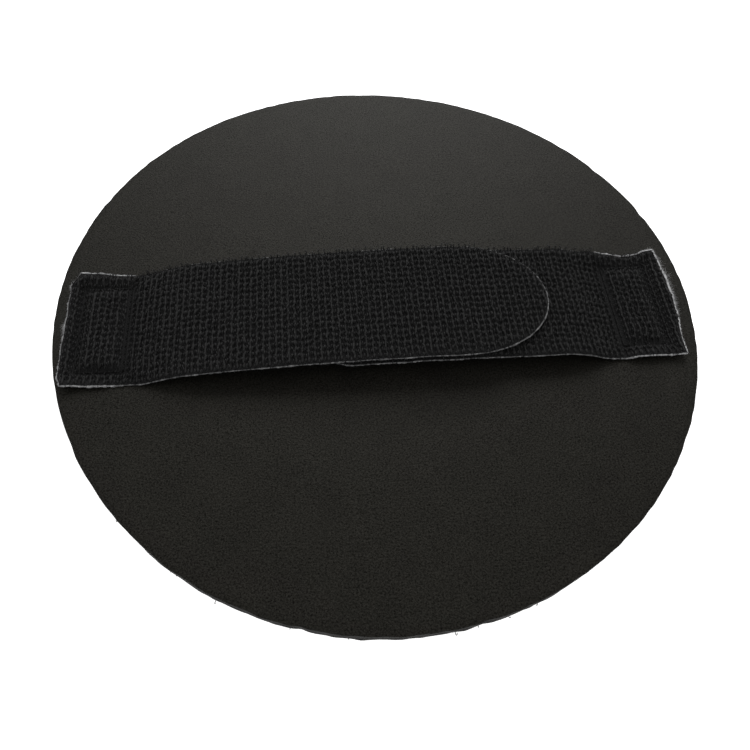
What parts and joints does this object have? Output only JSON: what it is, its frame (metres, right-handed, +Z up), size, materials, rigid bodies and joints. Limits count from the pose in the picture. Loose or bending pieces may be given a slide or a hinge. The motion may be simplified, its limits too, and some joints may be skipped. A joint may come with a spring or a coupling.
{
  "type": "hand polishing pad",
  "caption": "Round black foam hand pad with a hook grip face below and an arched, self-closing hook and loop hand strap sewn across its back.",
  "frame": {"origin": "centre of the round working face, which is the lowest face", "axes": "+Z up through the thickness, from the working face to the hand strap; +X along the strap, from the sewn end of the long strap to the sewn end of the short one"},
  "size_m": [0.2, 0.2, 0.0154],
  "materials": {
    "foam": "matte",
    "grip_hooks": "satin",
    "grip_backing": "matte",
    "adhesive": "matte",
    "strap_hooks": "satin",
    "strap_loops": "matte",
    "strap_base": "matte",
    "strap_bond": "matte",
    "thread": "satin"
  },
  "bodies": {
    "pad": {"grip_hook_pile": "grip_hooks", "grip_backing": "grip_backing", "adhesive_film": "adhesive", "foam_disc": "foam", "long_anchor_loop_pile": "strap_loops", "long_anchor_loop_base": "strap_base", "long_anchor_bond_film": "strap_bond", "long_anchor_hook_base": "strap_base", "long_anchor_hook_pile": "strap_hooks", "short_anchor_loop_pile": "strap_loops", "short_anchor_loop_base": "strap_base", "short_anchor_bond_film": "strap_bond", "short_anchor_hook_base": "strap_base", "short_anchor_hook_pile": "strap_hooks", "needle_thread_left": "thread", "needle_thread_right": "thread", "bobbin_thread_left": "thread", "bobbin_thread_right": "thread"},
    "long_strap": {"long_span_loop_pile": "strap_loops", "long_span_loop_base": "strap_base", "long_span_bond_film": "strap_bond", "long_span_hook_base": "strap_base", "long_span_hook_pile": "strap_hooks"},
    "strap_flap": {"long_flap_loop_pile": "strap_loops", "long_flap_loop_base": "strap_base", "long_flap_bond_film": "strap_bond", "long_flap_hook_base": "strap_base", "long_flap_hook_pile": "strap_hooks"},
    "short_strap": {"short_span_loop_pile": "strap_loops", "short_span_loop_base": "strap_base", "short_span_bond_film": "strap_bond", "short_span_hook_base": "strap_base", "short_span_hook_pile": "strap_hooks"}
  },
  "joints": [
    {"name": "long_strap_swing", "type": "hinge", "parent": "pad", "child": "long_strap", "pos_m": [-0.0745, -0.0054, 0.00845], "axis": [0, -1, 0], "range_deg": [0, 110]},
    {"name": "flap_peel", "type": "hinge", "parent": "long_strap", "child": "strap_flap", "pos_m": [-0.02007, -0.0054, 0.01445], "axis": [0, -1, 0], "range_deg": [0, 120]},
    {"name": "short_strap_swing", "type": "hinge", "parent": "pad", "child": "short_strap", "pos_m": [0.0723, -0.0054, 0.00845], "axis": [0, 1, 0], "range_deg": [0, 40]}
  ],
  "couplings": [
    {"joint": "short_strap_swing", "follows": "long_strap_swing", "ratio": 0.36}
  ]
}
